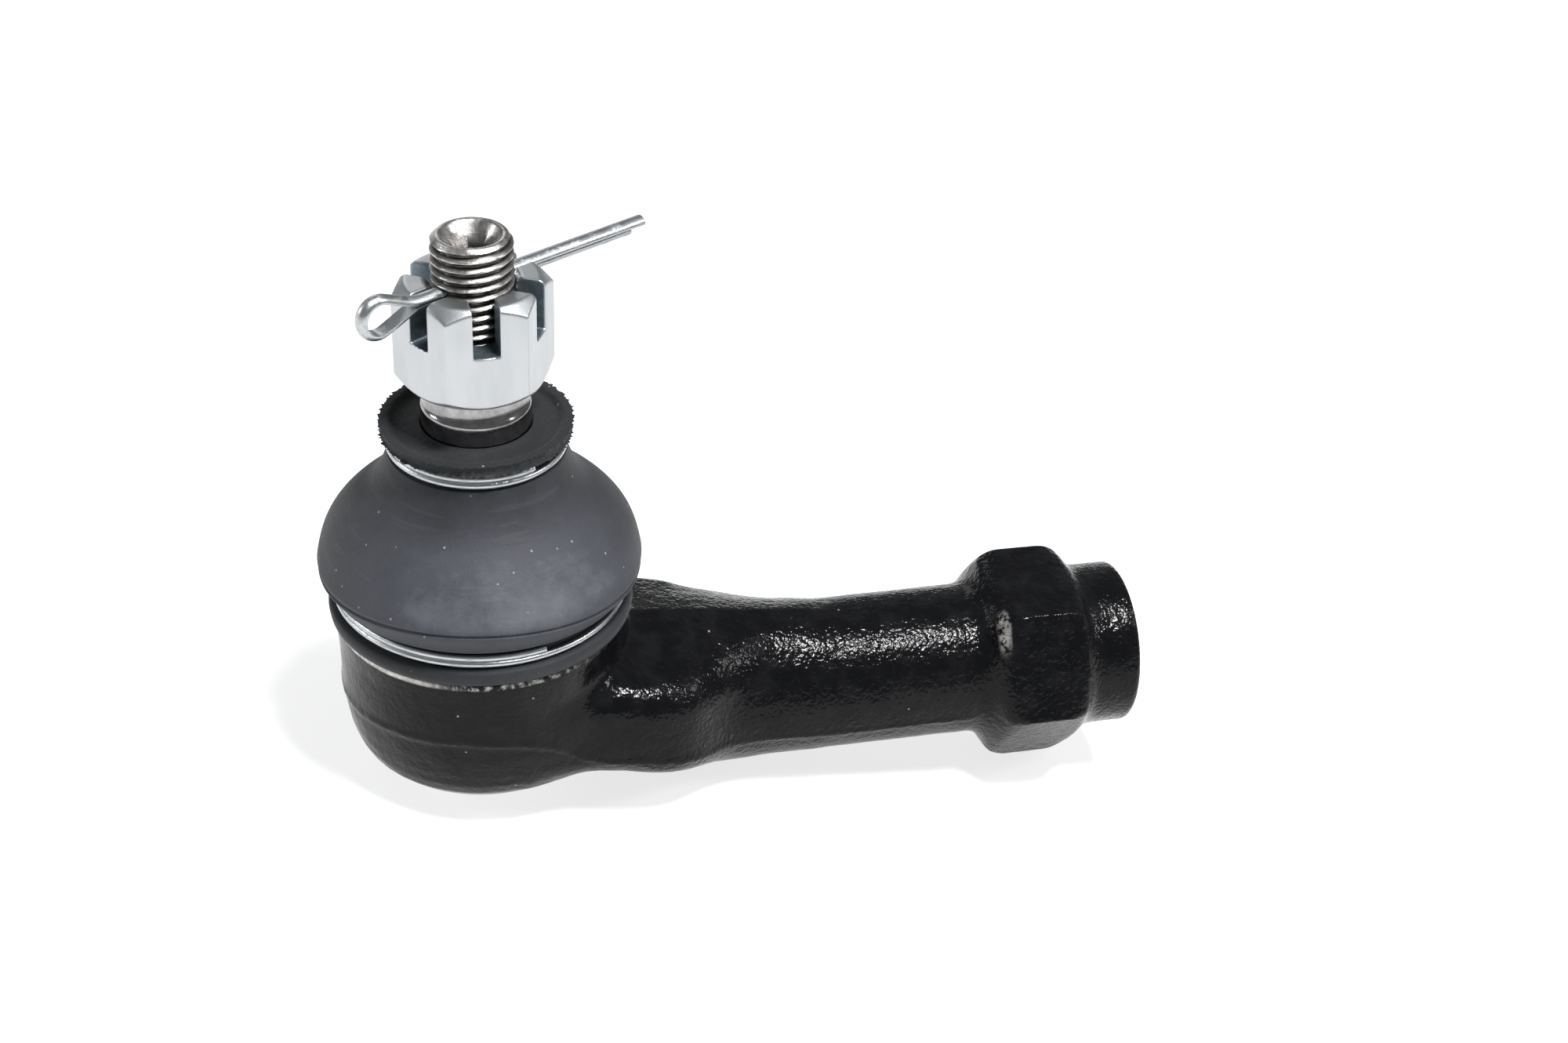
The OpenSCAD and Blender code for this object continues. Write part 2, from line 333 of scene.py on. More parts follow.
# %% [markdown]
# ## Rubber
# The boot is moulded from soft black rubber. It comes out of the mould with a
# bluish, matte bloom, and it picks up pale dust, specks and rubbed arcs. Its lower
# front, where the light falls, is painted paler: partly dust, partly painted light.
# Low specular and a little sheen give rubber its dry look.


# %% Rubber
def boot_rubber():
    f = Finish("boot_rubber_finish")
    cloud = f.noise(7.5, 4.0, roughness=0.6)
    drift = f.noise(17.0, 2.0, shift=9)
    grain = f.noise(0.28, 2.0, shift=4)
    lip = f.z.over(29.6, 0.5)
    toward_view = (f.x * math.cos(VIEW_SIDE) + f.y * math.sin(VIEW_SIDE)) / BOOT_R
    # painted light: the lower front of the dome, where the overhead light falls, is painted paler,
    # partly as dust
    lit_side = (f.x * 0.05 + f.y * -0.999) / BOOT_R
    painted_light_and_dust = f.z.near(18.0, 10.5) * lit_side.over(0.58, 0.80)
    mottle = f.noise(1.6, 4.0, roughness=0.7, shift=27)
    bloom_and_painted_light = cloud * 0.30 + painted_light_and_dust * 0.62 + drift * 0.30 + mottle * 0.16 - 0.30
    base = f.ramp(bloom_and_painted_light, [(0.05, (0.012, 0.013, 0.0155)), (0.45, (0.040, 0.043, 0.052)),
                          (1.00, (0.200, 0.205, 0.235))])
    base = f.blend(base, (0.008, 0.0083, 0.0093), lip * (0.98 - cloud * 0.5))
    rubs = f.noise(2.2, 3.0, stretch=(0.18, 0.18, 1.6), shift=21).over(0.62, 0.05)
    base = f.blend(base, (0.16, 0.165, 0.18), rubs * toward_view.over(0.1, 0.3) * 0.05)
    specks = 1 - f.cells(2.6, shift=7).over(0.055, 0.02)
    base = f.blend(base, (0.34, 0.34, 0.35), specks * 0.55)
    seat = f.z.near(11.2, 1.2) * f.noise(1.0, 3.0, stretch=(1, 1, 0.2), shift=8)
    base = f.blend(base, (0.09, 0.092, 0.10), seat * 0.2)
    roughness = 0.62 + cloud * 0.16 - painted_light_and_dust * 0.05
    normal = f.bumps((cloud, 0.14), (grain, 0.05), (rubs, 0.02),
                     (f.noise(0.7, 3.0, shift=23) * lip, 0.12))
    return f.surface(base, roughness, 0.0, normal, Specular_IOR_Level=0.28,
                     Sheen_Weight=0.06, Sheen_Roughness=0.5)


# %% [markdown]
# ## Zinc plate
# The nut, the rings and the pin are zinc plated. Fresh plate is nearly white with
# a blue cast and a fine, silky grain. In the slots and the recess the plate is
# thin and stained, and their shade is painted in too, so those faces are a dark
# slate colour.


# %% Zinc
def zinc(name, stained_and_shaded=False, drawn=False):
    f = Finish(name)
    grain = f.noise(0.22, 3.0, shift=2)
    silk = f.noise(2.8, 3.0, stretch=(1, 1, 0.3), shift=6)
    light = f.ramp(silk, [(0.25, (0.41, 0.43, 0.44)), (0.75, (0.50, 0.512, 0.52))])
    roughness = 0.30 + grain * 0.10 + silk * 0.06
    if stained_and_shaded:
        # painted shade, with stain: the nut's slots and bore are painted dark slate
        hollow = f.attribute("hollow")
        blotch = f.noise(0.8, 4.0, roughness=0.65, shift=14)
        stain_and_shade = f.ramp(blotch, [(0.3, (0.045, 0.075, 0.10)), (0.62, (0.20, 0.26, 0.29))])
        light = f.blend(light, stain_and_shade, hollow * (0.55 + blotch * 0.6))
        roughness = roughness + hollow * 0.12
    if drawn:
        dull = f.noise(1.4, 4.0, roughness=0.7, shift=19).over(0.56, 0.08)
        light = f.blend(light, (0.36, 0.37, 0.38), dull * 0.55)
        roughness = 0.24 + grain * 0.12 + dull * 0.18
    normal = f.bumps((silk, 0.02), (grain, 0.012))
    return f.surface(light, roughness, 1.0, normal)


# %% [markdown]
# ## Machined steel
# The stud is turned and ground. Its taper is polished so that it seats in the
# knuckle, and the thread above is duller and a little brown from oil. Fine lines
# run round it, left by the tool. The roots of the thread are painted nearly black,
# partly for oil and partly as painted shade, and the hole in its top is painted
# dark as painted shade.


# %% Stud steel
def stud_steel():
    f = Finish("stud_steel_finish")
    thread = f.z.over(40.6, 0.5)
    low = 1 - f.z.over(12.2, 0.4)
    lines = f.noise(0.16, 2.0, stretch=(0.06, 0.06, 1.0), shift=3)
    cloud = f.noise(1.3, 4.0, roughness=0.65, shift=12)
    hollow, groove = f.attribute("hollow"), f.attribute("groove")
    bright = f.ramp(cloud, [(0.3, (0.20, 0.198, 0.20)), (0.72, (0.36, 0.357, 0.36))])
    oily = f.ramp(cloud, [(0.30, (0.22, 0.21, 0.20)), (0.70, (0.60, 0.585, 0.57))])
    colour = f.blend(bright, oily, thread)
    # painted shade: the thread's roots are darkened, partly for oil and partly for the shade in them
    colour = f.blend(colour, (0.022, 0.020, 0.018), groove.over(0.45, 0.4) * (0.6 + cloud * 0.6))
    # painted shade: the hole in the stud's top is painted dark
    colour = f.blend(colour, (0.045, 0.042, 0.04), hollow * (0.80 + cloud * 0.3))
    roughness = 0.10 + lines * 0.07 + thread * (0.12 + cloud * 0.16) + low * 0.05
    normal = f.bumps((lines, 0.012), (cloud * thread, 0.06))
    return f.surface(colour, roughness, 1.0, normal)


def plain_steel(name, colour, ring_lines=True, dull=0.34):
    f = Finish(name)
    cloud = f.noise(1.8, 4.0, roughness=0.6, shift=5)
    turned = f.node("ShaderNodeMath", {"operation": "SINE"}, (f.reach * 9.0,)) * 0.5 + 0.5
    shade = f.ramp(cloud, [(0.3, tuple(c * 0.72 for c in colour)), (0.75, colour)])
    rust = f.noise(3.4, 5.0, roughness=0.7, shift=8).over(0.63, 0.05)
    shade = f.blend(shade, (0.12, 0.055, 0.025), rust * 0.45)
    layers = [(cloud, 0.03)] + ([(turned, 0.015)] if ring_lines else [])
    return f.surface(shade, dull + cloud * 0.16 + rust * 0.25, 1.0 - rust * 0.6,
                     f.bumps(*layers))


def seat_plastic():
    f = Finish("seat_plastic_finish")
    cloud = f.noise(4.0, 3.0, shift=5)
    grease = f.noise(2.6, 4.0, roughness=0.65, shift=15).over(0.55, 0.08)
    base = f.ramp(cloud, [(0.3, (0.62, 0.60, 0.52)), (0.75, (0.74, 0.72, 0.65))])
    base = f.blend(base, (0.34, 0.27, 0.13), grease * 0.45)
    return f.surface(base, 0.42 - grease * 0.2 + cloud * 0.1, 0.0,
                     f.bumps((cloud, 0.04)), Subsurface_Weight=0.05)


paint, rubber = black_paint(), boot_rubber()
nut_zinc = zinc("nut_zinc_finish", stained_and_shaded=True)
wire_zinc = zinc("wire_zinc_finish", drawn=True)
steel = stud_steel()
bore_steel = plain_steel("bore_steel_finish", (0.46, 0.45, 0.43), False, 0.28)
print("finishes:", [m.name for m in bpy.data.materials])

# %% [markdown]
# ## Making meshes from points
# Each piece is a list of corner points and a list of faces. The helper turns them
# into an object, shades it smooth, and marks an edge sharp where the surface turns
# by more than the given angle.


# %% Mesh helper
def piece(name, points, faces, finish, sharp=38, marks=None):
    """A mesh object from points in millimetres, with numbers kept on its points."""
    mesh = bpy.data.meshes.new(name)
    points = np.asarray(points, float) * MM
    mesh.from_pydata(points.tolist(), [], [list(map(int, face)) for face in faces])
    mesh.update()
    for mark, values in (marks or {}).items():
        layer = mesh.attributes.new(mark, "FLOAT", "POINT")
        layer.data.foreach_set("value", np.asarray(values, np.float32))
    mesh.polygons.foreach_set("use_smooth", np.ones(len(mesh.polygons), bool))
    mesh.set_sharp_from_angle(angle=math.radians(sharp))
    mesh.materials.append(finish)
    made = bpy.data.objects.new(name, mesh)
    bpy.context.scene.collection.objects.link(made)
    return made


def report(made):
    """Prints how large a piece is and whether its mesh is closed."""
    check = bmesh.new()
    check.from_mesh(made.data)
    open_edges = sum(not e.is_manifold for e in check.edges)
    volume = check.calc_volume(signed=True) / MM ** 3
    check.free()
    print(f"{made.name}: {len(made.data.vertices)} points, {open_edges} open edges, "
          f"{volume:.0f} mm3")


# %% [markdown]
# ## Shapes as distance fields
# A forging is all soft corners and fillets. They are easy to describe as a
# distance field: a function that says how far any point is from the surface.
# Two fields join with a fillet when their minimum is made smooth. A net of small
# quads is then laid where the field is zero, and its points slide onto the
# surface. Flat outlines are measured once on a fine table and looked up.


# %% Distance fields
def outline_distance(outline, step=0.1, margin=14.0):
    """Signed distance to a closed outline, as a function of two coordinates."""
    outline = np.asarray(outline, float)
    low, high = outline.min(0) - margin, outline.max(0) + margin
    counts = np.ceil((high - low) / step).astype(int) + 1
    u = (low[0] + step * np.arange(counts[0]))[:, None]
    v = (low[1] + step * np.arange(counts[1]))[None, :]
    nearest = np.full(counts, 1e9)
    inside = np.zeros(counts, bool)
    for (ax, ay), (bx, by) in zip(outline, np.roll(outline, -1, 0)):
        ex, ey = bx - ax, by - ay
        along = np.clip(((u - ax) * ex + (v - ay) * ey) / (ex * ex + ey * ey), 0, 1)
        nearest = np.minimum(nearest, (u - ax - along * ex) ** 2 + (v - ay - along * ey) ** 2)
        if ay != by:
            crosses = (v >= min(ay, by)) & (v < max(ay, by))
            inside ^= crosses & (u < ax + (v - ay) * ex / ey)
    table = np.where(inside, -1, 1) * np.sqrt(nearest)

    def measure(p, q):
        s = np.clip((p - low[0]) / step, 0, counts[0] - 1.001)
        t = np.clip((q - low[1]) / step, 0, counts[1] - 1.001)
        i, j = s.astype(int), t.astype(int)
        s, t = s - i, t - j
        return ((table[i, j] * (1 - s) + table[i + 1, j] * s) * (1 - t)
                + (table[i, j + 1] * (1 - s) + table[i + 1, j + 1] * s) * t)

    return measure


def join(a, b, fillet):
    """Both shapes as one, with a fillet in the corner between them."""
    share = np.clip(0.5 + 0.5 * (b - a) / fillet, 0, 1)
    return b * (1 - share) + a * share - fillet * share * (1 - share)


def cut(a, b, ease):
    """What is left of a when b is taken away, with the edge eased."""
    return -join(-a, b, ease)


def both(a, b, ease):
    """Only what lies in both shapes, with the edge eased."""
    return -join(-a, -b, ease)


def prism(flat, along, corner):
    """A shape from a flat distance and a distance past its ends, corners rounded."""
    u, v = flat + corner, along + corner
    return np.minimum(np.maximum(u, v), 0) + np.hypot(np.maximum(u, 0), np.maximum(v, 0)) - corner


def waves(points, size, seed, count=26):
    """Soft, even random relief between about -1 and 1, of this wavelength in mm."""
    draw = np.random.default_rng(seed)
    aim = draw.normal(size=(count, 3))
    aim *= (2 * np.pi / size) * draw.uniform(0.7, 1.3, (count, 1)) / np.linalg.norm(
        aim, axis=1, keepdims=True)
    phase = draw.uniform(0, 2 * np.pi, count)
    return np.sin(points @ aim.T + phase).sum(1) / math.sqrt(count)


# %% Net of quads over a field
def net(field, low, high, step, slides=4):
    """Points and quads on the surface where the field is zero, inside a box."""
    axes = [np.arange(a - 2 * step, b + 3 * step, step) for a, b in zip(low, high)]
    grid = np.meshgrid(*axes, indexing="ij")
    shape = grid[0].shape
    value = field(*(g.ravel() for g in grid)).reshape(shape)
    inside = value < 0
    corners = [(i, j, k) for i in (0, 1) for j in (0, 1) for k in (0, 1)]

    def at(array, corner):
        return array[tuple(slice(c, n - 1 + c) for c, n in zip(corner, shape))]

    filled = sum(at(inside, c).astype(np.int8) for c in corners)
    cells = np.argwhere((filled > 0) & (filled < 8))
    number = np.full([n - 1 for n in shape], -1)
    number[tuple(cells.T)] = np.arange(len(cells))
    total, hits = np.zeros((len(cells), 3)), np.zeros(len(cells))
    for a in corners:
        for axis in range(3):
            if a[axis]:
                continue
            b = tuple(c + (n == axis) for n, c in enumerate(a))
            va, vb = (value[tuple((cells + c).T)] for c in (a, b))
            crosses = (va < 0) != (vb < 0)
            share = np.where(crosses, va / np.where(crosses, va - vb, 1), 0)
            spot = np.array(a, float) + share[:, None] * (np.array(b) - np.array(a))
            total += spot * crosses[:, None]
            hits += crosses
    points = (cells + total / hits[:, None]) * step + np.array([a[0] for a in axes])
    quads = []
    for axis in range(3):
        one, two = (axis + 1) % 3, (axis + 2) % 3
        first = [slice(None)] * 3
        second = [slice(None)] * 3
        first[axis], second[axis] = slice(0, -1), slice(1, None)
        for side in (one, two):
            first[side] = second[side] = slice(1, -1)
        a, b = inside[tuple(first)], inside[tuple(second)]
        for flip, found in ((False, a & ~b), (True, ~a & b)):
            where = np.argwhere(found)
            where[:, one] += 1
            where[:, two] += 1
            ring = []
            for du, dv in ((-1, -1), (0, -1), (0, 0), (-1, 0)):
                spot = where.copy()
                spot[:, one] += du
                spot[:, two] += dv
                ring.append(number[tuple(spot.T)])
            quads.append(np.stack(ring[::-1] if flip else ring, 1))
    for _ in range(slides):
        here = field(*points.T)
        slope = gradient(field, points, 0.25 * step)
        steepness = np.maximum((slope ** 2).sum(1), 0.2)
        move = -(here / steepness)[:, None] * slope
        length = np.linalg.norm(move, axis=1, keepdims=True)
        points = points + move * np.minimum(1, 0.4 * step / np.maximum(length, 1e-9))
    return points, np.concatenate(quads)


def gradient(field, points, reach):
    slope = np.zeros_like(points)
    for axis in range(3):
        nudge = np.zeros(3)
        nudge[axis] = reach
        slope[:, axis] = (field(*(points + nudge).T) - field(*(points - nudge).T)) / (2 * reach)
    return slope


def sharpness(field, points, reach):
    """How strongly the surface bulges at each point: 0 flat, 1 on an arris."""
    bulge = -6 * field(*points.T)
    for axis in range(3):
        for sign in (-1, 1):
            nudge = np.zeros(3)
            nudge[axis] = sign * reach
            bulge += field(*(points + nudge).T)
    return np.clip(bulge / (2.2 * reach), 0, 1)


# %% [markdown]
# ## The housing
# One steel forging makes the cup, the web that carries the load out of it, the
# arm, the hexagon for a spanner and the plain collar at the end. A hammer forging
# is made between two dies. Where they meet it keeps a parting line, with the sides
# leaning back from it by a few degrees. The bores are turned afterwards.

# %% Housing outlines
CUP_OUTLINE = [(-1, CUP_BOTTOM), (12.9, CUP_BOTTOM), (13.9, CUP_BOTTOM + 0.15),
               (15.0, CUP_BOTTOM + 0.85), (16.2, CUP_BOTTOM + 2.1), (16.9, CUP_BOTTOM + 3.6),
               (17.3, CUP_BOTTOM + 5.4), (17.6, -8.0), (17.8, -4.8), (18.1, -0.6), (18.45, 3.4),
               (18.5, 4.1), (18.25, 4.75), (17.9, RIM_Z), (15.6, RIM_Z), (15.6, RIM_Z + 2.4),
               (15.1, RIM_Z + 2.9), (15.1, 9.6), (15.5, 9.9), (15.2, 10.4), (-1, 10.4)]
SOCKET_OUTLINE = [(-1, CUP_BOTTOM - 3), (10.9, CUP_BOTTOM - 3), (10.9, CUP_BOTTOM + 0.8),
                  (13.0, CUP_BOTTOM + 0.8), (13.0, 6.1), (9.6, 6.1), (11.4, 10.4), (11.4, 13),
                  (-1, 13)]
WEB_OUTLINE = [(0, 16.4), (11, 15.2), (20, 14.4), (25, 13.3), (30, 11.4), (35, 11.2), (39, 9.2),
               (46, 7.6), (46, -6.5), (39, -5.6), (34.5, -6.6), (31, -9.4), (28, -12.6),
               (24.5, -15.0), (20, -15.9), (14, -15.5), (8, -15.6), (0, -16.4)]
CROWN = np.array([(8, 1.6), (15, 1.2), (20, 0.4), (25, -0.1), (31, -1.0), (36, -2.1), (45, -4.0)])
HEX_FLATS, HEX_TURN = 25.0, math.radians(6)
HEX_START, HEX_END = 67.5, 80.5
COLLAR_R, COLLAR_MIDDLE = 11.0, 78.0
BORE_R, BORE_DEPTH, BORE_TIP = 7.08, 32.0, 3.6
PARTING = np.array([(-19, -6.2), (-13, -5.0), (-5, -4.5), (1, -5.2), (4, -5.9), (7, -7.4),
                    (10.5, -10.2), (14, -11.7), (19, -12.0), (26, -13.6), (34, -15.2),
                    (45, -15.9), (68, -15.9)])


def softened(outline, rounds):
    """The outline with its corners cut again and again, until they are curves."""
    outline = np.asarray(outline, float)
    for _ in range(rounds):
        after = np.roll(outline, -1, 0)
        outline = np.stack([0.75 * outline + 0.25 * after, 0.25 * outline + 0.75 * after], 1)
        outline = outline.reshape(-1, 2)
    return outline


def six_sided(flats, turn):
    """Corners of a hexagon of this width across its flats, the first at this angle."""
    reach = flats / math.sqrt(3)
    return [(reach * math.cos(a), reach * math.sin(a))
            for a in np.radians(range(0, 360, 60)) + turn]


hexagon = six_sided(HEX_FLATS, HEX_TURN)
cup_distance, socket_distance = outline_distance(CUP_OUTLINE), outline_distance(SOCKET_OUTLINE)
web_distance, hex_distance = outline_distance(softened(WEB_OUTLINE, 3)), outline_distance(hexagon)
print("housing outlines:", len(CUP_OUTLINE), "cup corners,", len(WEB_OUTLINE), "web corners")


# %% Housing field
def housing_field(x, y, z):
    r, rise = np.hypot(x, y), z - ARM_Z
    around = np.hypot(y, rise)
    cup = cup_distance(r, z)
    barrel = around - np.interp(x, [23, 38, 69], [10.2, 9.95, 10.1])
    root = np.sqrt((x - 24) ** 2 + y ** 2 + rise ** 2) - 10.2
    arm = np.where(x < 24, root, np.maximum(barrel, x - (ARM_END - 3)))
    crown = np.interp(x, CROWN[:, 0], CROWN[:, 1])
    floor_z = np.interp(x, [10, 16, 24, 34], [-14.2, -14.9, -16.5, -19.0])
    top = crown - np.abs(y) * np.interp(x, [14, 26, 40], [0.20, 0.22, 0.45])
    thick = np.maximum((z - top) * 0.92, floor_z - z)
    slab = prism(web_distance(x, y), thick, 3.4)
    body = join(arm, slab, 4.0)
    skin = join(cup, body, 2.4)
    flats = hex_distance(y, rise)
    collar_hex = prism(flats, np.abs(x - (HEX_START + HEX_END) / 2) - 6.6, 1.6)
    ends = np.minimum(x - (HEX_START - 1.7), (HEX_END + 1.4) - x)
    collar_hex = both(collar_hex, (around - 10.6 - ends * 1.2) * 0.66, 1.8)
    skin = join(skin, collar_hex, 3.0)
    skin = join(skin, prism(around - COLLAR_R,
                            np.abs(x - COLLAR_MIDDLE) - (ARM_END - COLLAR_MIDDLE), 0.85), 0.9)
    parting = z - np.interp(x, PARTING[:, 0], PARTING[:, 1])
    fade = np.clip((r - 14.5) / 1.5, 0, 1) * np.clip((HEX_START - 1.5 - x) / 2, 0, 1)
    draft = 0.34 * np.clip(1 - np.abs(parting) / 6.5, 0, 1) + 0.16 * np.exp(-(parting / 0.45) ** 2)
    skin = skin - fade * draft
    drill = np.maximum(around - BORE_R, (ARM_END - BORE_DEPTH) - x)
    tip = (around - (x - (ARM_END - BORE_DEPTH - BORE_TIP)) * 1.9) * 0.46
    mouth = (around - (x - ARM_END) - BORE_R - 0.25) * 0.7
    hole = np.minimum(np.minimum(drill, np.maximum(tip, around - BORE_R)),
                      np.maximum(mouth, ARM_END - 3 - x))
    return np.maximum(np.maximum(skin, -hole), -socket_distance(r, z))


# %% Housing mesh
points, quads = net(housing_field, HOUSING_LOW, HOUSING_HIGH, 0.42)
wear = sharpness(housing_field, points, 0.7)
slope = gradient(housing_field, points, 0.1)
slope /= np.maximum(np.linalg.norm(slope, axis=1, keepdims=True), 1e-6)
radius = np.hypot(points[:, 0], points[:, 1])
forged = np.clip((radius - 15.8) / 0.6, 0, 1)      # 0 on the machined faces
forged *= np.clip((ARM_END - 0.6 - points[:, 0]) / 1.5, 0, 1)
bore_side = np.hypot(points[:, 1], points[:, 2] - ARM_Z)
forged *= np.clip(bore_side - 8.5, 0, 1) + (points[:, 0] < 50)
forged *= np.clip((RIM_Z - 0.1 - points[:, 2]) / 0.3, 0, 1)
relief = 0.010 * waves(points, 1.9, 3) + 0.012 * waves(points, 5.5, 4)
relief += 0.03 * waves(points, 16, 5)
points = points + slope * (relief * np.clip(forged, 0, 1))[:, None]
housing_skin = piece("housing_forging", points, quads, paint, 55, {"wear": wear})
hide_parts("housing")
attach(housing_skin, "housing")
report(housing_skin)

# %% [markdown]
# ## Turning profiles and threads
# The stud and the boot are round. A profile is turned about Z in many steps, and
# a function may push each point in or out. With the angle and the height in that
# function, the same loop cuts a screw thread.


# %% Turned shapes
def turned(profile, columns, push=None):
    """Points and faces of a profile turned about Z. A radius of 0 is one point."""
    profile = np.asarray(profile, float)
    angles = np.arange(columns) * 2 * math.pi / columns
    points, rows = [], []
    for step, (radius, height) in enumerate(profile):
        if radius < 1e-6:
            rows.append([len(points)])
            points.append((0, 0, height))
            continue
        r, z = np.full(columns, radius), np.full(columns, height)
        if push is not None:
            r, z = push(r, z, angles, step)
        rows.append(list(range(len(points), len(points) + columns)))
        points.extend(zip(r * np.cos(angles), r * np.sin(angles), z))
    faces = []
    closed = len(rows[0]) > 1 and len(rows[-1]) > 1
    for low, high in zip(rows, rows[1:] + (rows[:1] if closed else [])):
        for i in range(columns):
            j = (i + 1) % columns
            if len(low) == 1:
                faces.append((low[0], high[j], high[i]))
            elif len(high) == 1:
                faces.append((low[i], low[j], high[0]))
            else:
                faces.append((low[i], low[j], high[j], high[i]))
    return np.array(points), faces


def fine(profile, step):
    """The same profile with more points on its long sides."""
    profile = [np.asarray(p, float) for p in profile]
    dense = [profile[0]]
    for a, b in zip(profile, profile[1:]):
        count = max(1, int(np.linalg.norm(b - a) / step))
        dense.extend(a + (b - a) * k / count for k in range(1, count + 1))
    return dense


def screw(height, angles, pitch):
    """0 on the crest of a right-hand thread and 1 at its root."""
    turn = (height / pitch - angles / (2 * math.pi)) % 1
    return np.clip((np.abs(turn - 0.5) * 2 - 0.14) / 0.66, 0, 1)


# %% [markdown]
# ## The ball stud
# The stud is one piece of steel. Its ball is held in the cup, its smooth taper
# wedges into the steering knuckle, and its M10 fine thread takes the nut. Its top
# has a tapered centre hole, with a six-sided socket below it to hold the stud
# still. A cross hole takes the cotter pin.

# %% Ball stud
THREAD_PITCH, THREAD_R, THREAD_DEPTH = 1.25, 4.98, 0.62
TAPER_TOP = 40.3
RECESS_R, RECESS_DEPTH, CROSS_R = 3.7, 2.7, 1.17
ball = [(10 * math.cos(a), 10 * math.sin(a)) for a in np.radians(np.arange(-86, 58, 2.0))]
profile = ([(0, -10)] + ball + [(5.2, 9.4), (5.2, 12.5)]
           + fine([(5.4, 13.4), (6.8, 24.5), (6.8, 33.95), (6.75, 34.2), (6.58, 34.42), (6.36, 34.75),
                   (6.2, 35.3), (6.1, 36.0), (6.03, 36.9), (5.75, TAPER_TOP),
                   (5.0, TAPER_TOP + 0.25)], 0.4)
           + [(5.0, z) for z in np.arange(TAPER_TOP + 0.4, STUD_TOP - 0.02, 0.09)]
           + [(4.35, STUD_TOP - 0.06), (4.22, STUD_TOP), (RECESS_R + 0.06, STUD_TOP),
              (RECESS_R - 0.05, STUD_TOP - 0.08)]
           + fine([(RECESS_R - 0.2, STUD_TOP - 0.25), (1.55, STUD_TOP - RECESS_DEPTH),
                   (1.3, STUD_TOP - RECESS_DEPTH - 1.4), (0.6, STUD_TOP - RECESS_DEPTH - 1.9)], 0.2)
           + [(0, STUD_TOP - RECESS_DEPTH - 2.0)])
profile_r = np.array([p[0] for p in profile])
recess_from = len(profile) - 1 - int(np.argmax(profile_r[::-1] > 4.2))


def stud_push(r, z, angles, step):
    height = z[0]
    above_taper = height - TAPER_TOP - 0.3
    if step < recess_from and above_taper > 0:
        start = min(1.0, above_taper / 1.2)        # the thread runs out over 1.2 mm
        root = THREAD_DEPTH * screw(z, angles, THREAD_PITCH) * start
        chamfer = 4.24 + STUD_TOP - z
        r = np.minimum(THREAD_R - root, chamfer)
    if step > recess_from and height < STUD_TOP - 0.9:
        six = np.cos(((angles + 0.4) % (math.pi / 3)) - math.pi / 6)
        depth = np.clip((STUD_TOP - 0.9 - z) / 1.8, 0, 1)
        r = r * (1 - depth + depth * 0.93 / six)
    return r, z


points, faces = turned(profile, 132, stud_push)
away = np.hypot(points[:, 0], points[:, 1])
# where the hole in the stud's top gets its painted shade
hollow = np.clip((STUD_TOP - 0.9 - points[:, 2]) / 1.5, 0, 1)
hollow *= (away < RECESS_R - 0.1) & (points[:, 2] > 50)
# where the thread's roots get their painted shade and oil
groove = np.clip((THREAD_R - away) / THREAD_DEPTH, 0, 1) * (points[:, 2] > TAPER_TOP + 0.4)
groove *= (points[:, 2] < STUD_TOP - 0.7) & (away > 4.2)
stud = piece("ball_stud_turned", points, faces, steel, 42, {"hollow": hollow, "groove": groove})

# %% Cross hole
drill_mesh = bpy.data.meshes.new("drill")
tool = bmesh.new()
bmesh.ops.create_cone(tool, cap_ends=True, segments=40, radius1=CROSS_R * MM, radius2=CROSS_R * MM,
                      depth=30 * MM, matrix=Matrix.Translation((0, 0, PIN_Z * MM))
                      @ Matrix.Rotation(PIN_TURN, 4, "Z") @ Matrix.Rotation(math.pi / 2, 4, "Y"))
tool.to_mesh(drill_mesh)
tool.free()
drill = bpy.data.objects.new("drill", drill_mesh)
bpy.context.scene.collection.objects.link(drill)
bore = stud.modifiers.new("cross_hole", "BOOLEAN")
bore.operation, bore.solver, bore.object = "DIFFERENCE", "EXACT", drill
bpy.context.view_layer.update()
drilled = bpy.data.meshes.new_from_object(stud.evaluated_get(bpy.context.evaluated_depsgraph_get()))
stud.modifiers.clear()
stud.data = drilled
bpy.data.objects.remove(drill)
stud.data.set_sharp_from_angle(angle=math.radians(42))
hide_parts("ball_stud")
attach(stud, "stud")
report(stud)

# %% [markdown]
# ## Thread in the arm
# The tie rod screws into the arm. Its thread is cut into a thin sleeve that lines
# the bore, because a fine thread is cheaper on its own piece than on the forging.

# %% Arm thread
ARM_PITCH, ARM_THREAD_R, ARM_THREAD_DEPTH = 1.5, 7.0, 0.8
LINING_START = ARM_END - BORE_DEPTH + 0.2
lining = [(6.2, x) for x in np.arange(LINING_START, ARM_END - 0.10, 0.125)][::-1]
lining += [(BORE_R + 0.12, LINING_START), (BORE_R + 0.12, ARM_END - 0.12)]


def lining_push(r, z, angles, step):
    if step < len(lining) - 2:
        thread = ARM_THREAD_R - ARM_THREAD_DEPTH * (1 - screw(z, angles, ARM_PITCH))
        r = np.maximum(thread, BORE_R + 0.02 - (ARM_END - 0.12 - z) * 0.95)
    return r, z


points, faces = turned(lining, 112, lining_push)
points = np.stack([points[:, 2], points[:, 0], points[:, 1] + ARM_Z], 1)
arm_thread = piece("arm_thread", points, faces, bore_steel, 40)
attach(arm_thread, "housing")
report(arm_thread)

# %% [markdown]
# ## The dust boot
# The boot keeps grease in and grit out. It bulges so that the stud can tilt. A
# band below the bulge takes one wire ring, the neck under the lip takes the other,
# and the lip seals on the stud's shoulder. Its mould leaves a ragged flash on the
# lip's two edges. The fold above the lower ring isn't quite level.

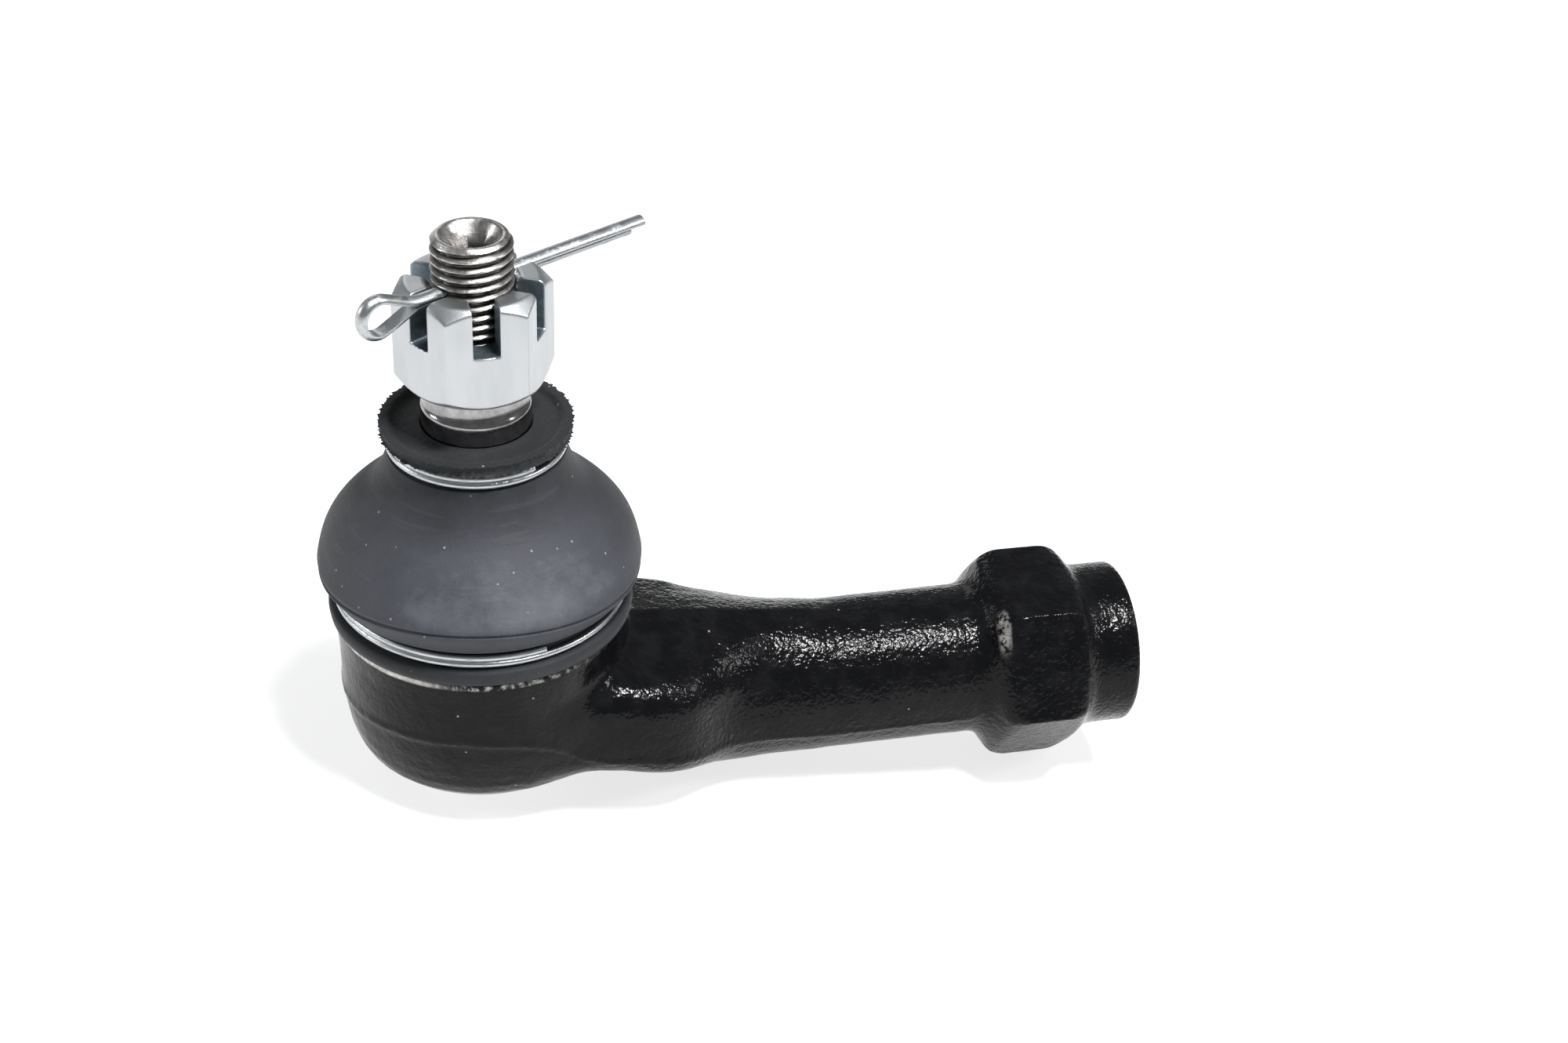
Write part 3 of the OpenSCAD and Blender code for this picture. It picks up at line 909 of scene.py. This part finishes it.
# %% Boot
FLANGE_Z, WALL = BOOT_BOTTOM, 2.0
DOME_R, DOME_Z, DOME_WIDE, DOME_H = -5.6, 10.6, 26.3, 16.7   # the ellipse of the dome


def dome(angle, inset=0.0):
    a = math.radians(angle)
    return (DOME_R + (DOME_WIDE - inset) * math.cos(a), DOME_Z + (DOME_H - inset) * math.sin(a))


def bent(a, b, c, steps=14):
    """A quadratic curve from a to c, pulled towards b."""
    a, b, c = (np.array(p, float) for p in (a, b, c))
    return [tuple(a * (1 - t) ** 2 + 2 * b * t * (1 - t) + c * t * t)
            for t in np.arange(1, steps + 1) / steps]


outer = [(15.75, FLANGE_Z), (18.9, FLANGE_Z), (19.1, FLANGE_Z + 0.15), (19.22, FLANGE_Z + 0.9),
         (19.18, FLANGE_Z + 1.7), (18.95, FLANGE_Z + 1.98), (17.9, FLANGE_Z + 2.12),
         (17.68, 7.25), (17.65, 9.2), (17.95, 9.38), (18.55, 9.5), (18.95, 9.8), (19.7, 11.1),
         (20.18, 12.0), (20.25, 12.3), (20.05, 12.5), (20.02, 12.68), (20.28, 12.86)]
outer += [dome(a) for a in np.arange(9.5, 39.1, 1.0)]
outer += bent(dome(39), (12.1, 23.3), (11.05, 27.8))
outer += [(10.45, 27.95), (10.22, 28.15), (10.22, 30.05), (10.5, 30.25), (11.1, 30.32)]
lip = [(11.45, 30.36), (11.72, 30.42), (11.62, 30.62), (11.58, 31.2), (11.60, 31.6), (11.74, 31.82),
       (11.5, 31.9), (11.0, 31.9), (10.7, 31.84), (10.45, 31.6), (10.25, 31.34), (9.9, 31.24),
       (9.0, 31.2), (8.0, 31.26), (7.6, 31.36), (7.3, 31.5), (6.95, 31.5), (6.86, 31.3)]
inner = ([(6.86, 27.4)] + bent((6.86, 27.4), (10.4, 24.2), dome(39, WALL))
         + [dome(a, WALL) for a in np.arange(37, 9, -2.0)] + [(15.75, 11.1)])
profile = fine(outer + lip + inner, 0.45)
rough_edge = np.random.default_rng(8)
COLUMNS = 320
flash = {z: np.clip(rough_edge.normal(0.12, 0.16, COLUMNS), -0.02, 0.42) for z in (30.42, 31.82)}
flash_step = {int(np.argmin([math.hypot(r - 11.7, h - z) for r, h in profile])): z for z in flash}


def boot_push(r, z, angles, step):
    fold = -0.35 + 0.95 * np.cos(2 * (angles - VIEW_SIDE))
    sag = fold * np.exp(-((z - 12.5) / 2.2) ** 2) * (r > 17)
    swell = 0.10 * np.sin(3 * angles + 1.0) + 0.07 * np.sin(5 * angles + 0.4)
    r = r + swell * np.exp(-((z - 18) / 6.0) ** 2) * (z > 10)
    if step in flash_step:
        r = r + flash[flash_step[step]]
    return r, z + sag


points, faces = turned(profile, COLUMNS, boot_push)
boot = piece("dust_boot_rubber", points, faces, rubber, 50)
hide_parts("dust_boot")
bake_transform(boot)
report(boot)

# %% [markdown]
# ## Sweeping wires
# The rings and the pin are bent wire. A section is carried along a path, with one
# fixed direction to keep it from twisting.


# %% Sweep
def swept(path, section, across):
    """Points and faces of a section carried along an open path, with closed ends."""
    path, section = np.asarray(path, float), np.asarray(section, float)
    run = np.gradient(path, axis=0)
    run /= np.linalg.norm(run, axis=1, keepdims=True)
    wide = np.asarray(across, float) - (run @ np.asarray(across, float))[:, None] * run
    wide /= np.linalg.norm(wide, axis=1, keepdims=True)
    out = np.cross(wide, run)
    points = (path[:, None] + section[None, :, 0, None] * out[:, None]
              + section[None, :, 1, None] * wide[:, None])
    count, sides = len(path), len(section)
    points = np.concatenate([points.reshape(-1, 3), points[:1].mean(1), points[-1:].mean(1)])
    faces = []
    for i in range(count - 1):
        for j in range(sides):
            k = (j + 1) % sides
            faces.append((i * sides + j, i * sides + k, (i + 1) * sides + k, (i + 1) * sides + j))
    last, start, end = (count - 1) * sides, count * sides, count * sides + 1
    for j in range(sides):
        k = (j + 1) % sides
        faces.append((start, k, j))
        faces.append((end, last + j, last + k))
    return points, faces


def right_way_out(made):
    """Turns a mesh's faces outward if its volume came out negative."""
    mesh = bmesh.new()
    mesh.from_mesh(made.data)
    if mesh.calc_volume(signed=True) < 0:
        bmesh.ops.reverse_faces(mesh, faces=mesh.faces)
        mesh.to_mesh(made.data)
    mesh.free()


# %% [markdown]
# ## The wire rings
# Each ring is a spring wire wound twice round. It crosses from its first turn to
# its second over a short slant, so its two cut ends lie on each side of it.


# %% Wire rings
def wire_ring(name, node, free_end, single, body, wobble):
    """Two turns, open over the single angle that follows the upper turn's free end."""
    wire = 0.45                            # half the wire's thickness
    low, high = span_mm(node)
    middle = high[0] - wire
    heights = (low[2] + wire, high[2] - wire)
    start = free_end + single
    angle = np.linspace(start, free_end + 4 * math.pi, 420)
    cross = np.clip((angle - start - 2 * math.pi + 1.0) / 0.85, 0, 1)
    lift = heights[0] + (heights[1] - heights[0]) * cross * cross * (3 - 2 * cross)
    lift = lift + wobble * np.sin(angle * 2 + 0.6) * 0.5
    bow = middle + 0.04 * np.sin(angle * 3)
    path = np.stack([bow * np.cos(angle), bow * np.sin(angle), lift], 1)
    section = [(wire * math.cos(a), wire * math.sin(a)) for a in np.radians(range(0, 360, 24))]
    points, faces = swept(path, section, (0, 0, 1))
    ring = piece(name, points, faces, wire_zinc, 60)
    right_way_out(ring)
    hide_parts(node)
    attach(ring, body)
    report(ring)


wire_ring("lower_ring_wire", "lower_clip_ring", math.radians(-72.4), 2.0, "boot", 0.08)
wire_ring("upper_ring_wire", "upper_clip_ring", math.radians(-58.8), 1.6, "boot_neck", 0.04)

# %% [markdown]
# ## The castle nut
# The nut is cut from six-sided bar. Both its faces are chamfered, so each corner
# ends in a small arc, and six slots let the pin through. Small rounded edges catch
# the light, so the nut is a distance field like the housing, on a finer net.

# %% Castle nut
NUT_FLATS, SLOT_W, SLOT_FLOOR = 17.0, 3.2, 44.6
NUT_TURN = PIN_TURN + math.radians(4)
NUT_BOTTOM, NUT_TOP = float(NUT_LOW[2]), float(NUT_HIGH[2])
nut_distance = outline_distance(six_sided(NUT_FLATS, NUT_TURN + math.pi / 6), 0.05, 4.0)


def nut_field(x, y, z):
    r = np.hypot(x, y)
    middle, half = (NUT_BOTTOM + NUT_TOP) / 2, (NUT_TOP - NUT_BOTTOM) / 2
    bar = prism(nut_distance(x, y), np.abs(z - middle) - half, 0.16)
    cone = (r - 8.1 + (np.abs(z - middle) - half) * 1.14) * 0.66
    bar = both(bar, cone, 0.22)
    bore = np.minimum(r - 5.06, np.maximum(r - 6.15, z - TAPER_TOP - 0.2))
    ease = (r - 5.06 - (z - NUT_TOP + 0.7)) * 0.7
    bar = cut(bar, np.minimum(bore, ease), 0.2)
    for turn in (0, 1, 2):
        a = NUT_TURN + turn * math.pi / 3
        side = np.abs(-x * math.sin(a) + y * math.cos(a)) - SLOT_W / 2
        bar = cut(bar, prism(side, SLOT_FLOOR - z, 0.35), 0.22)
    return bar


points, quads = net(nut_field, NUT_LOW, NUT_HIGH, 0.17)
side = np.min([np.abs(-points[:, 0] * math.sin(a) + points[:, 1] * math.cos(a))
               for a in NUT_TURN + np.arange(3) * math.pi / 3], 0)
away = np.hypot(points[:, 0], points[:, 1])
# the slots and the bore, where the plate's painted shade and stain go
in_slot = (side < SLOT_W / 2 + 0.04) & (points[:, 2] > SLOT_FLOOR - 0.1) & (away < 8.45)
hollow = np.maximum(in_slot, away < 5.25).astype(float)
nut = piece("castle_nut_plated", points, quads, nut_zinc, 40, {"hollow": hollow})
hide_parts("castle_nut")
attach(nut, "stud")
report(nut)

# %% [markdown]
# ## The cotter pin
# A cotter pin is half-round wire folded on itself, with its flat sides together.
# The fold is a teardrop eye that stops it at the slot. One leg is longer, so that
# it can be caught and bent once the pin is in.

# %% Cotter pin
WIRE_HALF, WIRE_THICK, EYE_X, EYE_R = 1.0, 0.97, -13.6, 1.95
LONG_LEG, SHORT_LEG, JOIN_X = 25.8, 23.6, -8.9
open_angle = math.acos(EYE_R / (JOIN_X - EYE_X))
eye = [(EYE_X + EYE_R * math.cos(a), EYE_R * math.sin(a))
       for a in np.linspace(open_angle, 2 * math.pi - open_angle, 44)]
trace = ([(x, 0.04) for x in np.linspace(LONG_LEG, JOIN_X + 0.5, 60)] + [(JOIN_X, 0.10)]
         + [tuple(np.array((JOIN_X, 0.10)) * (1 - t) + np.array(eye[0]) * t)
            for t in (0.2, 0.4, 0.6, 0.8)] + eye
         + [tuple(np.array(eye[-1]) * (1 - t) + np.array((JOIN_X, -0.10)) * t)
            for t in (0.2, 0.4, 0.6, 0.8)] + [(JOIN_X, -0.10)]
         + [(x, -0.04) for x in np.linspace(JOIN_X + 0.5, SHORT_LEG, 60)])
trace = np.array(trace)
for _ in range(3):
    trace[1:-1] = 0.25 * trace[:-2] + 0.5 * trace[1:-1] + 0.25 * trace[2:]
ahead = np.array([math.cos(PIN_TURN), math.sin(PIN_TURN), 0])
sideways = np.array([-math.sin(PIN_TURN), math.cos(PIN_TURN), 0])
path = trace[:, :1] * ahead + trace[:, 1:] * np.array([0, 0, 1.0]) + np.array([0, 0, PIN_Z])
half_round = [(WIRE_THICK * math.sin(a), WIRE_HALF * math.cos(a)) for a in np.linspace(0.12, 3.02, 15)]
half_round = [(0.0, WIRE_HALF * 0.93)] + half_round + [(0.0, -WIRE_HALF * 0.93)]
points, faces = swept(path, half_round, sideways)
pin = piece("cotter_pin_wire", points, faces, wire_zinc, 50)
right_way_out(pin)
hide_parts("cotter_pin")
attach(pin, "pin")
report(pin)

# %% [markdown]
# ## Parts kept from the frame
# The end cap, the bearing seats and the spring are plain turned parts, and the
# frame's shapes are right for them. They only need their finishes.

# %% Finishes for the kept parts
seat_finish = seat_plastic()
kept = {"end_cap": plain_steel("cap_steel_finish", (0.50, 0.49, 0.47)),
        "bearing_seat_upper": seat_finish, "bearing_seat_lower": seat_finish,
        "preload_spring": plain_steel("spring_steel_finish", (0.22, 0.23, 0.25), True, 0.3)}
for node, finish in kept.items():
    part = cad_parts[node]
    part.data.materials.clear()
    part.data.materials.append(finish)
print("kept parts:", sorted(kept))

# %% [markdown]
# ## The floor
# The joint lies on a table on its cup and its hexagon. The cup is less deep than
# the hexagon hangs down, so the table is tilted a little against the stud. The
# tilt is worked out from the lowest points of the forging. The table glows a
# little, so that its shadows stay faint.

# %% Floor
skin_points = np.array([v.co for v in housing_skin.data.vertices])
CUP_SIDE, HEX_SIDE = 16 * MM, 60 * MM      # the forging stands on what lies past these
cup_side = skin_points[skin_points[:, 0] < CUP_SIDE]
arm_side = skin_points[skin_points[:, 0] > HEX_SIDE]
tilt = 0.0
for _ in range(12):
    lean = np.array([-math.sin(tilt), 0, math.cos(tilt)])
    left, right = cup_side[np.argmin(cup_side @ lean)], arm_side[np.argmin(arm_side @ lean)]
    tilt = math.atan2(right[2] - left[2], right[0] - left[0])
lean = Vector((-math.sin(tilt), 0, math.cos(tilt)))
drop = min(float((skin_points @ np.array(lean)).min()), 0)
HALF_FLOOR = 2.5                           # metres
floor_mesh = bpy.data.meshes.new("floor")
floor_mesh.from_pydata([(-HALF_FLOOR, -HALF_FLOOR, 0), (HALF_FLOOR, -HALF_FLOOR, 0),
                        (HALF_FLOOR, HALF_FLOOR, 0), (-HALF_FLOOR, HALF_FLOOR, 0)],
                       [], [(0, 1, 2, 3)])
floor = bpy.data.objects.new("floor", floor_mesh)
floor.rotation_euler = (0, -tilt, 0)
floor.location = lean * drop
bpy.context.scene.collection.objects.link(floor)
f = Finish("floor_finish")
floor_mesh.materials.append(f.surface((0.42, 0.42, 0.42), 0.8, 0.0, Specular_IOR_Level=0.1,
                                     Emission_Color=(1, 1, 1, 1), Emission_Strength=0.76))
print(f"table tilted by {math.degrees(tilt):.1f} degrees, {drop / MM:.1f} mm below the ball")
